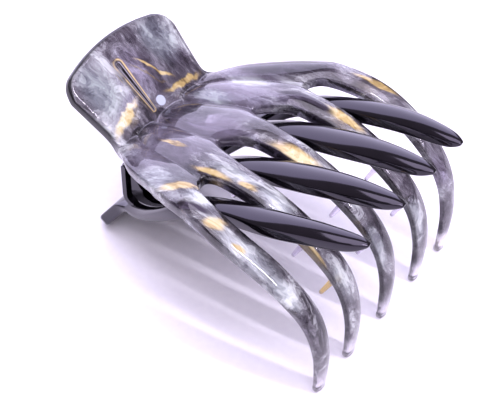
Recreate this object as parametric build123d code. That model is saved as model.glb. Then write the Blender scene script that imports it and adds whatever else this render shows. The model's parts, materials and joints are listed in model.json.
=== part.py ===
from build123d import *
from collections import namedtuple
import math
import os

os.makedirs("parts", exist_ok=True)

# Flat claw clip, in millimetres. X runs from the handle to the tine tips, Y across the clip
# and Z up from the surface that it lies on. The jaws are drawn with the neck crease at
# x = 0, and everything is moved at the end so that the origin is the bottom centre.

# Upper jaw
tine_reach = 68.9  # neck crease to the foremost bend of the tines
arch_height = 43.0  # crown of the arch above the surface
tine_depth = 4.9  # thickness of a tine at the crown
tine_width = 6.6  # width of a tine past its root
inner_spread = 16.2  # middle line to the centre of an inner tine
outer_spread = 31.8  # middle line to the centre of an outer tine
tip_round = 0.9  # height of the narrowed tip
tip_sole = 0.7  # sole of a tip, as a share of the tine above it
edge_round = 0.75  # rounding along the edges of the tines
crown_share = 0.12  # rise of a tine's outer face across its width, as a share of the width
belly_share = 0.06  # bow of a tine's inner face, as a share of its depth
crown_limit = 0.4  # most that the outer face may rise, as a share of the depth
round_width_limit = 0.28  # most that an edge may be rounded, as a share of the width
round_side_limit = 0.3  # the same, as a share of the upright side
web_thickness = 2.4  # shell between the flutes, from the neck to the gap roots
web_inset = 1.35  # shell below the crests of the flutes
web_overrun = 0.8  # shell past the outer gap roots, as a share of the tine width
inner_gap_root = 21.4  # neck crease to the root of an inner gap
outer_gap_root = 27.4  # neck crease to the root of an outer gap
gap_inset = 0.3  # sides of the gaps in that shell inside the tines beside them
neck_channel = 0.6  # radius of the round channel along the neck crease

section_count = 18  # sections along every tine
curve_steps = 20  # steps from row to row where a table's curve is measured

# Handle plate, raised from the neck
handle_length = 23.9
handle_half_width = 19.3
handle_waist = 18.5  # half width at the neck
handle_waist_share = 0.35  # share of the plate's length before it widens
handle_sink = 0.5  # plate that runs on into the neck
handle_thickness = 3.0
handle_angle = 40.8  # slope above the surface, in degrees
handle_end_rise = 4.4  # bow of the end edge
handle_corner = 4.0
handle_bevel = 1.7  # rounding of the upper edge
handle_under_round = 0.8

# Grip pegs on the inner faces of the three middle tines
peg_radius = 0.95
peg_tip_radius = 0.55
peg_lean = 27.0  # tilt of every peg from the vertical, in degrees
peg_sink = 0.4  # root of a peg inside its tine, as a share of the tine's depth

# Lower jaw
lower_reach = 73.9  # neck crease to the tips of the lower tines
tip_stand = 3.8  # tips of the lower tines above the crown of the arch
lower_depth = 4.5
outer_drop = 1.6  # outer pair of the lower tines below the inner pair
tine_clearance = 0.9  # lower tine to the upper tine beside it
tab_thickness = 3.3
tab_half_width = 18.0
tab_angle = 54.0  # slope of the thumb tab below the neck, in degrees
tab_corner = 4.0
tab_inset = 0.45  # tab behind the lower crease
tab_round_share = 0.48  # rounding of the tab's edges, as a share of its thickness
tab_sink = 0.9  # tab that runs on into the lower tines, as a share of its thickness
tab_channel = 0.8  # radius of the round channel where the tab meets the lower tines

# Hinge and spring
hinge_drop = 11.5  # hinge axis below the neck crease
pin_radius = 1.2
pin_clearance = 0.05  # radial, in every ear
pin_inset = 0.3  # pin end inside the outer face of its ear
ear_radius = 3.4
ear_thickness = 2.8
ear_gap = 0.35  # between an upper ear and a lower ear
ear_foot_front = 0.95  # foot of every ear in front of the axis, as a share of the ear radius
upper_foot_back = 0.75  # foot of an upper ear behind the axis, as a share of the ear radius
lower_foot_back = 0.2  # the same for a lower ear
upper_foot_sink = 0.5  # foot of an upper ear inside the neck, as a share of the neck's depth
lower_foot_sink = 0.4  # foot of a lower ear inside the crease, as a share of its depth
lower_ear_face = 14.4  # middle line to the outer face of a lower ear
guard_face = 18.3  # middle line to the outer face of a side guard
guard_width = 2.0  # side guard across the clip
guard_wall = 1.3  # side guard from back to front
guard_back = 0.2  # back of a side guard behind the axis
guard_rise = 5.4  # top of a side guard above the axis
guard_bend = 2.0  # radius of the bend from a side guard into its tine
guard_sink = 0.3  # end of that bend inside the tine
wire_radius = 0.6
coil_radius = 2.2  # pin axis to the middle of the wire
coil_pitch = 1.4
coil_turns = 3
leg_place = 3.0  # middle line to each spring leg
groove_clearance = 0.6  # wire to the side of its groove
groove_depth = 1.4
tab_groove_depth = 0.9
leg_rest_gap = 0.1  # wire to the floor of its groove
bead_share = 1.06  # bend between a leg and the coil, as a share of the wire
ring_turn = 340.0  # last turn of the coil, in degrees
handle_leg_share = 0.62  # share of the handle plate that its leg reaches
tab_leg_share = 0.7  # share of the tab that its leg reaches

UpperRow = namedtuple("UpperRow", "reach rise depth middle inner inner_place outer outer_place")
LowerRow = namedtuple("LowerRow", "reach rise depth drop inner inner_place outer outer_place")
PegRow = namedtuple("PegRow", "reach length")

# Reach and rise are shares of tine_reach and arch_height at the outer face, depth and the three
# widths are shares of tine_depth and tine_width, and places are shares of the two spreads.
upper_rows = [
    UpperRow(0.000, 0.802, 0.70, 1.79, 1.06, 0.534, 1.12, 0.475),
    UpperRow(0.093, 0.867, 0.82, 1.94, 1.70, 0.691, 1.38, 0.619),
    UpperRow(0.267, 0.953, 0.92, 2.27, 1.96, 0.840, 1.62, 0.755),
    UpperRow(0.369, 0.986, 0.98, 1.45, 1.67, 0.951, 1.65, 0.836),
    UpperRow(0.446, 1.000, 1.00, 1.15, 1.15, 0.975, 1.14, 0.925),
    UpperRow(0.631, 0.953, 1.00, 1.00, 1.00, 1.000, 1.00, 1.000),
    UpperRow(0.811, 0.821, 0.86, 0.98, 0.98, 0.994, 1.00, 0.987),
    UpperRow(0.952, 0.602, 0.63, 0.94, 0.94, 0.981, 0.94, 0.950),
    UpperRow(1.000, 0.326, 0.53, 0.81, 0.80, 0.969, 0.80, 0.921),
    UpperRow(0.990, 0.021, 0.45, 0.64, 0.64, 0.957, 0.64, 0.899),
]

# Reach and rise are shares of lower_reach and of the height from the lower crease to the tips,
# at the middle of the tine. Widths are shares of the gap that the tine passes, less clearance.
lower_rows = [
    LowerRow(-0.008, 0.042, 0.76, 0.0, 1.26, 0.568, 1.34, 0.562),
    LowerRow(0.080, 0.144, 0.80, 0.0, 1.49, 0.691, 1.47, 0.667),
    LowerRow(0.188, 0.343, 0.93, 0.5, 1.02, 0.988, 1.00, 0.850),
    LowerRow(0.272, 0.527, 0.98, 1.0, 0.85, 1.037, 0.80, 0.942),
    LowerRow(0.357, 0.649, 0.98, 1.0, 0.82, 1.025, 0.74, 0.954),
    LowerRow(0.470, 0.759, 0.98, 1.0, 0.88, 0.988, 0.80, 0.963),
    LowerRow(0.663, 0.875, 1.00, 1.0, 1.00, 0.938, 0.94, 0.975),
    LowerRow(0.797, 0.938, 0.94, 1.0, 0.90, 0.901, 0.86, 0.944),
    LowerRow(0.908, 0.974, 0.80, 1.0, 0.69, 0.864, 0.69, 0.900),
    LowerRow(0.976, 0.994, 0.55, 1.0, 0.44, 0.840, 0.44, 0.867),
    LowerRow(0.996, 0.998, 0.26, 1.0, 0.19, 0.834, 0.20, 0.856),
]

# Place of each peg along the outer face of its tine, as a share of tine_reach, and its length
# below the inner face
peg_rows = [
    PegRow(0.515, 4.0),
    PegRow(0.685, 6.9),
    PegRow(0.820, 8.1),
    PegRow(0.936, 8.8),
]

neck_height = upper_rows[0].rise * arch_height
hinge_height = neck_height - hinge_drop
lower_crease = hinge_height - hinge_drop
tip_height = arch_height + tip_stand
inner_gap = inner_spread - tine_width
outer_gap = outer_spread - inner_spread - tine_width
inner_gap_place = inner_spread / 2
outer_gap_place = (inner_spread + outer_spread) / 2


# Unit directions along a list of (x, z) points
def headings(path):
    found = []
    for index in range(len(path)):
        before = path[max(index - 1, 0)]
        after = path[min(index + 1, len(path) - 1)]
        dx, dz = after[0] - before[0], after[1] - before[1]
        size = math.hypot(dx, dz)
        found.append((dx / size, dz / size))
    return found


# A path moved sideways: a positive distance is towards the inside of the arch
def offset_path(path, distances):
    moved = []
    for (x, z), (dx, dz), distance in zip(path, headings(path), distances):
        moved.append((x + dz * distance, z - dx * distance))
    return moved


# Value of a table's column at a place between its rows, on a smooth curve through them
def between(values, position):
    index = min(int(position), len(values) - 2)
    t = position - index
    before = values[max(index - 1, 0)]
    low, high = values[index], values[index + 1]
    after = values[min(index + 2, len(values) - 1)]
    slope_low, slope_high = (high - before) / 2, (after - low) / 2
    rise = high - low
    return low + slope_low * t + (3 * rise - 2 * slope_low - slope_high) * t**2 + (
        slope_low + slope_high - 2 * rise
    ) * t**3


# Rows of x, z, place, width and depth spaced evenly along the curve through a table's rows
def even_rows(columns, count):
    steps = curve_steps * (len(columns[0]) - 1)
    dense = [[between(column, step / curve_steps) for column in columns] for step in range(steps + 1)]
    run = [0.0]
    for one, two in zip(dense, dense[1:]):
        run.append(run[-1] + math.hypot(two[0] - one[0], two[1] - one[1]))
    rows = []
    for index in range(count):
        target = run[-1] * index / (count - 1)
        nearest = min(range(len(run)), key=lambda step: abs(run[step] - target))
        rows.append(dense[nearest])
    return rows


# Outline of a tine or flute on a plane whose y points outwards: a crowned outer face, upright
# sides, a slightly bowed inner face and four rounded edges
def tine_outline(plane, width, depth):
    half = width / 2
    crown = min(crown_share * width, crown_limit * depth)
    belly = belly_share * depth
    radius = min(edge_round, round_width_limit * width, round_side_limit * (depth - crown - belly))
    flat = half - radius
    drop = crown * (flat / half) ** 2
    lift = belly * (1 - (flat / half) ** 2)
    cut = radius * (1 - math.sqrt(0.5))
    foot = belly - depth - lift
    high_side = -drop - radius
    low_side = belly - depth + radius

    def at(x, y):
        return plane.from_local_coords(Vector(x, y, 0))

    edges = [ThreePointArc(at(-flat, -drop), at(0, 0), at(flat, -drop))]
    edges.append(ThreePointArc(at(flat, -drop), at(half - cut, -drop - cut), at(half, high_side)))
    edges.append(Line(at(half, high_side), at(half, low_side)))
    edges.append(ThreePointArc(at(half, low_side), at(half - cut, foot + cut), at(flat, foot)))
    edges.append(ThreePointArc(at(flat, foot), at(0, -depth), at(-flat, foot)))
    edges.append(ThreePointArc(at(-flat, foot), at(cut - half, foot + cut), at(-half, low_side)))
    edges.append(Line(at(-half, low_side), at(-half, high_side)))
    edges.append(ThreePointArc(at(-half, high_side), at(cut - half, -drop - cut), at(-flat, -drop)))
    return Wire(edges)


# A tine lofted through sections whose outer middle points follow the table's curve, and the tip
# that narrows below its last section
def tine(x, z, places, widths, depths, tip):
    rows = even_rows([x, z, places, widths, depths], section_count)
    wires = []
    for row, (dx, dz) in zip(rows, headings([(row[0], row[1]) for row in rows])):
        plane = Plane(origin=(row[0], row[2], row[1]), x_dir=(0, 1, 0), z_dir=(dx, 0, dz))
        wires.append(tine_outline(plane, row[3], row[4]))
    solids = [Solid.make_loft(wires, False)]
    if tip > 0:
        inset = 0.5 * (1 - tip_sole) * depths[-1]
        sole_origin = plane.from_local_coords(Vector(0, -inset, tip))
        sole_plane = Plane(origin=sole_origin, x_dir=plane.x_dir, z_dir=plane.z_dir)
        sole = tine_outline(sole_plane, tip_sole * widths[-1], tip_sole * depths[-1])
        solids.append(Solid.make_loft([wires[-1], sole], True))
    return solids


# Curved plate under the flutes, cut to an outline in plan and by slots with round roots
def web_plate(path, insets, thickness, outline, slots):
    upper = offset_path(path, insets)
    lower = offset_path(path, [inset + thickness for inset in insets])
    top = Spline(*[(x, z) for x, z in upper])
    under = Spline(*[(x, z) for x, z in lower])
    ends = Line(upper[-1], lower[-1]) + Line(lower[0], upper[0])
    side = Plane.XZ * make_face(top + under + ends)
    reach = 2 * max(abs(y) for _, y in outline)
    plate = extrude(side, reach / 2, both=True)
    plan = make_face(Polyline(*outline, close=True))
    height = 2 * tip_height
    plate &= extrude(plan, height, dir=(0, 0, 1))
    for slot_face in slots:
        plate -= extrude(slot_face, height, dir=(0, 0, 1))
    return plate


# Value at x on straight lines through a list of places
def level(xs, values, x):
    for index in range(len(xs) - 1):
        if xs[index] <= x <= xs[index + 1]:
            share = (x - xs[index]) / (xs[index + 1] - xs[index])
            return values[index] + share * (values[index + 1] - values[index])
    return values[-1]


# Slot in plan between two tines, from a round root at one place to the end of the web. Its
# sides run a little inside the tines.
def gap_slot(root, low_side, high_side, end):
    half = 0.5 * (level(upper_x, high_side, root) - level(upper_x, low_side, root)) + gap_inset
    centre = root + half
    low = [level(upper_x, low_side, x) - gap_inset for x in (centre, end)]
    high = [level(upper_x, high_side, x) + gap_inset for x in (centre, end)]
    radius = 0.5 * (high[0] - low[0])
    corners = [(centre, low[0]), (end, low[1]), (end, high[1]), (centre, high[0])]
    mouth = make_face(Polyline(*corners, close=True))
    return Pos(centre, low[0] + radius) * Circle(radius) + mouth


# Hinge ear: a disc about the axis with a foot that runs into the jaw, bored for the pin
def ear(low_y, foot, foot_front, foot_back):
    disc = Pos(0, hinge_height) * Circle(ear_radius)
    side_a = (-ear_radius, hinge_height)
    side_b = (ear_radius, hinge_height)
    neck = make_face(Polyline(side_a, (foot_back, foot), (foot_front, foot), side_b, close=True))
    hole = Pos(0, hinge_height) * Circle(pin_radius + pin_clearance)
    plane = Plane(origin=(0, low_y, 0), x_dir=(1, 0, 0), z_dir=(0, -1, 0))
    return extrude(plane * (disc + neck - hole), -ear_thickness)


# Side guard of the hinge: an upright wall with a round top that bends forward into its tine
def side_guard(low_y):
    front = guard_wall - guard_back
    bend_end = front + guard_bend
    seat = level(lower_x, outer_tops, bend_end) - guard_sink
    shoulder = hinge_height + guard_rise - 0.5 * guard_wall
    cut = guard_bend * (1 - math.sqrt(0.5))
    foot, toe = [level(middle_x, middle_z, x) for x in (-guard_back, bend_end)]
    crown = (0.5 * guard_wall - guard_back, shoulder + 0.5 * guard_wall)
    edges = [Line((-guard_back, foot), (-guard_back, shoulder))]
    edges.append(ThreePointArc((-guard_back, shoulder), crown, (front, shoulder)))
    edges.append(Line((front, shoulder), (front, seat + guard_bend)))
    edges.append(ThreePointArc((front, seat + guard_bend), (front + cut, seat + cut), (bend_end, seat)))
    edges.append(Line((bend_end, seat), (bend_end, toe)))
    edges.append(Line((bend_end, toe), (-guard_back, foot)))
    plane = Plane(origin=(0, low_y, 0), x_dir=(1, 0, 0), z_dir=(0, -1, 0))
    return extrude(plane * make_face(Wire(edges)), -guard_width)


# Round channel across a jaw, cut along the crease where a flat plate meets the flutes
def crease_channel(x, z, radius):
    return Pos(x, 0, z) * Rot(90, 0, 0) * Cylinder(radius, 2 * outer_spread)


# Straight spring leg, tangent to the coil, from the hinge axis to a point given along and
# above the plate that it presses on
def spring_leg(along, above, reach, height, place):
    lift = math.acos(coil_radius / math.hypot(reach, height)) - math.atan2(reach, height)
    back = -coil_radius * math.sin(lift)
    up = coil_radius * math.cos(lift)
    start = (back * along[0] + up * above[0], back * along[1] + up * above[1])
    end = (reach * along[0] + height * above[0], reach * along[1] + height * above[1])
    first = Vector(start[0], place, hinge_height + start[1])
    last = Vector(end[0], place, hinge_height + end[1])
    run = last - first
    wire = Plane(origin=first, z_dir=run) * Circle(wire_radius)
    bead = Pos(first) * Sphere(bead_share * wire_radius)
    return extrude(wire, run.length) + bead, first


# Upper tines, from the neck crease to the tips
upper_x = [row.reach * tine_reach for row in upper_rows]
upper_z = [row.rise * arch_height for row in upper_rows]
upper_z[-1] = tip_round
upper_depths = [row.depth * tine_depth for row in upper_rows]
middle_widths = [row.middle * tine_width for row in upper_rows]
inner_widths = [row.inner * tine_width for row in upper_rows]
outer_widths = [row.outer * tine_width for row in upper_rows]
inner_places = [row.inner_place * inner_spread for row in upper_rows]
outer_places = [row.outer_place * outer_spread for row in upper_rows]
middle_places = [0.0 for row in upper_rows]

upper_pieces = []
for side, places, widths in (
    (0, middle_places, middle_widths),
    (-1, inner_places, inner_widths),
    (1, inner_places, inner_widths),
    (-1, outer_places, outer_widths),
    (1, outer_places, outer_widths),
):
    line = [side * place for place in places]
    upper_pieces += tine(upper_x, upper_z, line, widths, upper_depths, tip_round)

# Shell of the upper jaw between the flutes, as far as the gap roots
web_path = list(zip(upper_x, upper_z))[:5]
outline_half = [(x, place) for (x, _), place in zip(web_path[:4], outer_places)]
web_end = outer_gap_root + web_overrun * tine_width
outline_half.append((web_end, outer_places[3]))
outline = outline_half + [(x, -y) for x, y in outline_half[::-1]]
middle_side = [0.5 * width for width in middle_widths]
inner_low_side = [place - 0.5 * width for place, width in zip(inner_places, inner_widths)]
inner_high_side = [place + 0.5 * width for place, width in zip(inner_places, inner_widths)]
outer_low_side = [place - 0.5 * width for place, width in zip(outer_places, outer_widths)]
slots = []
for root, low_side, high_side in (
    (inner_gap_root, middle_side, inner_low_side),
    (outer_gap_root, inner_high_side, outer_low_side),
):
    half_slot = gap_slot(root, low_side, high_side, web_end + tine_width)
    slots += [half_slot, mirror(half_slot, about=Plane.XZ)]
insets = [web_inset for point in web_path]
upper_pieces.append(web_plate(web_path, insets, web_thickness, outline, slots))

# Handle plate: drawn flat with its length along x, then set on the neck crease
rise = math.radians(handle_angle)
handle_along = (-math.cos(rise), math.sin(rise))
handle_above = (math.sin(rise), math.cos(rise))
handle_plane = Plane(
    origin=(0, 0, neck_height),
    x_dir=(handle_along[0], 0, handle_along[1]),
    z_dir=(handle_above[0], 0, handle_above[1]),
)
side_length = handle_length - handle_end_rise
waist_end = handle_waist_share * side_length
end_arc = ThreePointArc(
    (side_length, -handle_half_width), (handle_length, 0), (side_length, handle_half_width)
)
sides = Polyline(
    (side_length, handle_half_width),
    (waist_end, handle_waist),
    (-handle_sink, handle_waist),
    (-handle_sink, -handle_waist),
    (waist_end, -handle_waist),
    (side_length, -handle_half_width),
)
plate_face = make_face(end_arc + sides)
corners = plate_face.vertices().group_by(Axis.X)[-1]
plate_face = fillet(corners, handle_corner)
plate = extrude(plate_face, -handle_thickness)
for face_height, radius in ((0, handle_bevel), (-handle_thickness, handle_under_round)):
    level_edges = plate.edges().filter_by_position(Axis.Z, face_height, face_height)
    plate = fillet([edge for edge in level_edges if edge.center().X > 0], radius)

# Groove for the spring leg in the underside of the handle plate
groove_half = wire_radius + groove_clearance
leg_reach = handle_leg_share * handle_length
groove_run = leg_reach + wire_radius + groove_clearance
groove_face = Pos(0.5 * groove_run, 0) * Rectangle(groove_run, 2 * groove_half)
groove_face += Pos(groove_run, 0) * Circle(groove_half)
groove_face = Pos(0, leg_place) * groove_face
groove = extrude(Pos(0, 0, -handle_thickness) * groove_face, groove_depth)
plate -= groove
upper_pieces.append(handle_plane * plate)

# Upper ears, inside the lower ears
upper_ear_face = lower_ear_face - ear_thickness - ear_gap
upper_foot = neck_height - upper_foot_sink * upper_depths[0]
foot_front = ear_foot_front * ear_radius
for low_y in (upper_ear_face - ear_thickness, -upper_ear_face):
    upper_pieces.append(ear(low_y, upper_foot, foot_front, -upper_foot_back * ear_radius))

# Grip pegs, all leaning the same way so that they leave one mould. Each starts inside its tine.
lean = math.radians(peg_lean)
peg_down = (-math.sin(lean), 0, -math.cos(lean))
for row in peg_rows:
    outer_x = row.reach * tine_reach
    fall = level(upper_x, upper_z, outer_x) - level(upper_x, upper_z, outer_x + peg_radius)
    slope = math.atan2(fall, peg_radius)
    depth = level(upper_x, upper_depths, outer_x)
    seat_x = outer_x - depth * math.sin(slope)
    seat_z = level(upper_x, upper_z, outer_x) - depth * math.cos(slope)
    for place in (-inner_spread, 0, inner_spread):
        base = Plane(origin=(seat_x, place, seat_z), x_dir=(0, 1, 0), z_dir=peg_down)
        root = base.offset(-peg_sink * depth) * Circle(peg_radius)
        tip_plane = base.offset(row.length - peg_tip_radius)
        peg = loft([root, tip_plane * Circle(peg_tip_radius)])
        upper_pieces.append(peg + Pos(tip_plane.origin) * Sphere(peg_tip_radius))
upper_jaw = Part() + upper_pieces - crease_channel(0, neck_height, neck_channel)

# Lower tines, drawn on their top faces
lower_rise = tip_height - lower_crease
lower_middle = [(row.reach * lower_reach, lower_crease + row.rise * lower_rise) for row in lower_rows]
lower_depths = [row.depth * lower_depth for row in lower_rows]
lower_tops = offset_path(lower_middle, [-0.5 * depth for depth in lower_depths])
lower_inner_width = inner_gap - 2 * tine_clearance
lower_outer_width = outer_gap - 2 * tine_clearance
inner_tops = [z for x, z in lower_tops]
outer_tops = [z - row.drop * outer_drop for z, row in zip(inner_tops, lower_rows)]
lower_inner_places = [row.inner_place * inner_gap_place for row in lower_rows]
lower_outer_places = [row.outer_place * outer_gap_place for row in lower_rows]
lower_inner_widths = [row.inner * lower_inner_width for row in lower_rows]
lower_outer_widths = [row.outer * lower_outer_width for row in lower_rows]

lower_x = [x for x, z in lower_tops]
lower_pieces = []
for side in (-1, 1):
    inner_line = [side * place for place in lower_inner_places]
    outer_line = [side * place for place in lower_outer_places]
    lower_pieces += tine(lower_x, inner_tops, inner_line, lower_inner_widths, lower_depths, 0)
    lower_pieces += tine(lower_x, outer_tops, outer_line, lower_outer_widths, lower_depths, 0)

# Thumb tab: a slab that slopes from the lower crease to the surface and ends in a round edge
tab_fall = math.radians(tab_angle)
tab_along = (-math.cos(tab_fall), -math.sin(tab_fall))
tab_above = (-math.sin(tab_fall), math.cos(tab_fall))
tab_offset = 0.5 * tab_thickness + tab_inset
tab_start = (tab_offset * tab_above[0], lower_crease + tab_offset * tab_above[1])
tab_length = (tab_start[1] - 0.5 * tab_thickness) / math.sin(tab_fall)
tab_plane = Plane(
    origin=(tab_start[0], 0, tab_start[1]),
    x_dir=(tab_along[0], 0, tab_along[1]),
    z_dir=(tab_above[0], 0, tab_above[1]),
)
tab_root = -tab_sink * tab_thickness
tab_face = make_face(
    Polyline(
        (tab_root, -tab_half_width),
        (tab_length + 0.5 * tab_thickness, -tab_half_width),
        (tab_length + 0.5 * tab_thickness, tab_half_width),
        (tab_root, tab_half_width),
        close=True,
    )
)
tab_face = fillet(tab_face.vertices().group_by(Axis.X)[-1], tab_corner)
tab = extrude(Pos(0, 0, -0.5 * tab_thickness) * tab_face, tab_thickness)
tab_rim = [edge for edge in tab.edges() if edge.center().X > 0]
flat_rim = [edge for edge in tab_rim if abs(edge.center().Z) > tab_round_share * tab_thickness]
tab = fillet(flat_rim, tab_round_share * tab_thickness)
tab_run = tab_leg_share * tab_length
tab_groove = Pos(0.5 * tab_run, -leg_place) * Rectangle(tab_run, 2 * groove_half)
tab_groove += Pos(tab_run, -leg_place) * Circle(groove_half)
tab_groove += Pos(tab_root, -leg_place) * Rectangle(-2 * tab_root, 2 * groove_half)
tab -= extrude(Pos(0, 0, 0.5 * tab_thickness - tab_groove_depth) * tab_groove, 2 * tab_groove_depth)
lower_pieces.append(tab_plane * tab)

# Lower ears, outside the upper ears, and the side guards that hide them
middle_x = [x for x, z in lower_middle]
middle_z = [z for x, z in lower_middle]
lower_foot = lower_crease + lower_foot_sink * lower_depths[0]
for low_y in (lower_ear_face - ear_thickness, -lower_ear_face):
    lower_pieces.append(ear(low_y, lower_foot, foot_front, -lower_foot_back * ear_radius))
for low_y in (guard_face - guard_width, -guard_face):
    lower_pieces.append(side_guard(low_y))
channel_x = tab_inset * tab_above[0]
channel_z = lower_crease + tab_inset * tab_above[1]
lower_jaw = Part() + lower_pieces - crease_channel(channel_x, channel_z, tab_channel)

# Hinge pin through the four ears
pin_length = 2 * (lower_ear_face - pin_inset)
hinge_pin = Pos(0, 0, hinge_height) * Rot(90, 0, 0) * Cylinder(pin_radius, pin_length)

# Spring: the coil with the handle's leg turns with the upper jaw, and the last turn with the
# tab's leg turns with the lower jaw
handle_gap = hinge_drop * handle_above[1] - handle_thickness
handle_foot = hinge_drop * handle_along[1]
upper_leg, coil_start = spring_leg(
    handle_along,
    handle_above,
    handle_foot + leg_reach,
    handle_gap + groove_depth - wire_radius - leg_rest_gap,
    -leg_place,
)
coil_height = coil_turns * coil_pitch
coil = Helix(coil_pitch, coil_height, coil_radius)
coil_section = Plane(origin=coil @ 0, z_dir=coil % 0) * Circle(wire_radius)
coil_body = sweep(coil_section, path=coil, is_frenet=True)
start_angle = math.degrees(math.atan2(coil_start.Z - hinge_height, coil_start.X))
coil_place = Pos(0, -leg_place, hinge_height) * Rot(-90, 0, 0) * Rot(0, 0, -start_angle)
spring_coil = coil_place * coil_body + upper_leg

axis_to_tab = (-tab_start[0], hinge_height - tab_start[1])
tab_gap = axis_to_tab[0] * tab_above[0] + axis_to_tab[1] * tab_above[1] - 0.5 * tab_thickness
tab_foot = -(axis_to_tab[0] * tab_along[0] + axis_to_tab[1] * tab_along[1])
tab_leg, ring_start = spring_leg(
    tab_along,
    (-tab_above[0], -tab_above[1]),
    tab_foot + tab_run,
    tab_gap + tab_groove_depth - wire_radius - leg_rest_gap,
    leg_place,
)
ring_angle = math.degrees(math.atan2(ring_start.Z - hinge_height, ring_start.X))
ring_plane = Plane(origin=(0, leg_place, hinge_height), x_dir=(1, 0, 0), z_dir=(0, -1, 0))
ring_arc = ring_plane * CenterArc((0, 0), coil_radius, ring_angle, ring_turn)
ring_section = Plane(origin=ring_arc @ 0, z_dir=ring_arc % 0) * Circle(wire_radius)
spring_leg_body = sweep(ring_section, path=ring_arc) + tab_leg

nodes = {
    "upper_jaw": upper_jaw,
    "lower_jaw": lower_jaw,
    "hinge_pin": hinge_pin,
    "spring_coil": spring_coil,
    "spring_leg": spring_leg_body,
}

# Move everything so that the origin is the bottom centre of the whole clip
boxes = [shape.bounding_box() for shape in nodes.values()]
low = [min(getattr(box.min, axis) for box in boxes) for axis in "XYZ"]
high = [max(getattr(box.max, axis) for box in boxes) for axis in "XYZ"]
shift = Pos(-0.5 * (low[0] + high[0]), -0.5 * (low[1] + high[1]), -low[2])
for name, shape in nodes.items():
    export_step(shift * shape, "parts/" + name + ".step")

print("hinge axis at x", round(shift.position.X, 3), "z", round(hinge_height + shift.position.Z, 3))
print("size", [round(high[i] - low[i], 2) for i in range(3)])
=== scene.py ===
import json
import math

import bmesh
import bpy
from mathutils import Matrix, Vector


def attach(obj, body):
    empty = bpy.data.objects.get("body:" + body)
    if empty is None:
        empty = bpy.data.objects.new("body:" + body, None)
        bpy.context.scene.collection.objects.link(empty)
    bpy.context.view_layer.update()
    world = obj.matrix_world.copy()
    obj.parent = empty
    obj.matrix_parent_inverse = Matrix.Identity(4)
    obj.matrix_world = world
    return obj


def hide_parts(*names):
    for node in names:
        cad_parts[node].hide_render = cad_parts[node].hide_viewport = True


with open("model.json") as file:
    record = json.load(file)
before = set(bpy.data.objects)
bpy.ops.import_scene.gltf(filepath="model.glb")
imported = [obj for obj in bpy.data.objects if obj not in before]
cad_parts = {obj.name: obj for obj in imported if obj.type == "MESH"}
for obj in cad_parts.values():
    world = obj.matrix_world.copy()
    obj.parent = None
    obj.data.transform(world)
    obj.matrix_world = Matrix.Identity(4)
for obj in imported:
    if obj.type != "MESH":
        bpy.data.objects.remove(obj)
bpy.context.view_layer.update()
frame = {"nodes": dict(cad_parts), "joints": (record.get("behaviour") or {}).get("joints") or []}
mm = 0.001
tiny = 0.001 * mm  # lengths under this count as nothing

# The jaws are worked out from the neck crease, as the part is, and moved by the hinge's place
hingeJoint = next(joint for joint in frame["joints"] if joint["name"] == "jaw_hinge")
hingeDrop = 11.5 * mm  # hinge axis below the neck crease
hingePlace = Vector(hingeJoint["pos_m"])
neckPlace = hingePlace + Vector((0, 0, hingeDrop))
lowerPlace = hingePlace - Vector((0, 0, hingeDrop))
handleAngle = math.radians(40.8)  # rise of the handle plate behind the crease

subdivisions = 2  # of each jaw's surface
crispAngle = math.radians(38)  # sharper corners of cut and joined places stay crisp
rootSlack = 0.1 * mm  # a gap may start this much before its root


# Colours are sRGB hex values, and Blender wants them linear
def linear(hexColour):
    channels = [int(hexColour[i:i + 2], 16) / 255 for i in (1, 3, 5)]
    return tuple(c / 12.92 if c <= 0.04045 else ((c + 0.055) / 1.055) ** 2.4 for c in channels) + (1.0,)


# Adds a node. Keys of settings and links are input names or numbers, or else the node's own settings
def addNode(tree, kind, settings, links):
    node = tree.nodes.new(kind)
    for key, value in settings.items():
        if key == "ramp":
            ramp = node.color_ramp.elements
            while len(ramp) < len(value):
                ramp.new(0.5)
            for element, (position, colour) in zip(ramp, value):
                element.position = position
                element.color = linear(colour)
        elif isinstance(key, int) or key in node.inputs:
            node.inputs[key].default_value = value
        else:
            setattr(node, key, value)
    for key, source in links.items():
        tree.links.new(source, node.inputs[key])
    return node


def newMaterial(name):
    material = bpy.data.materials.new(name)
    material.use_nodes = True
    material.node_tree.nodes.clear()
    return material, material.node_tree


# Value of a table's column at a place between its rows, on a smooth curve through them
def between(values, position):
    index = min(int(position), len(values) - 2)
    t = position - index
    low, high = values[index], values[index + 1]
    slopeLow = (high - values[max(index - 1, 0)]) / 2
    slopeHigh = (values[min(index + 2, len(values) - 1)] - low) / 2
    rise = high - low
    return low + slopeLow * t + (3 * rise - 2 * slopeLow - slopeHigh) * t**2 + (
        slopeLow + slopeHigh - 2 * rise) * t**3


# Value at x on straight lines through a list of places
def levelAt(xs, values, x):
    i = max(k for k in range(len(xs) - 1) if xs[k] <= x)
    return values[i] + (values[i + 1] - values[i]) * (x - xs[i]) / (xs[i + 1] - xs[i])


# Places along a table, close enough together for the mesh, with one exactly at each marked x
def stationsFor(x, z, marks, spacing):
    steps = 40  # between two rows of the table
    dense = [i / steps for i in range(steps * (len(x) - 1) + 1)]
    points = [(between(x, p), between(z, p)) for p in dense]
    run = [0.0]
    for one, two in zip(points, points[1:]):
        run.append(run[-1] + math.hypot(two[0] - one[0], two[1] - one[1]))
    fixed = [0] + [next(i for i, point in enumerate(points) if point[0] >= mark) for mark in marks]
    fixed.append(len(dense) - 1)
    stations = [0.0]
    for first, last in zip(fixed, fixed[1:]):
        count = max(1, round((run[last] - run[first]) / spacing))
        for k in range(1, count + 1):
            target = run[first] + (run[last] - run[first]) * k / count
            stations.append(dense[min(range(len(run)), key=lambda i: abs(run[i] - target))])
    return stations


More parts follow.
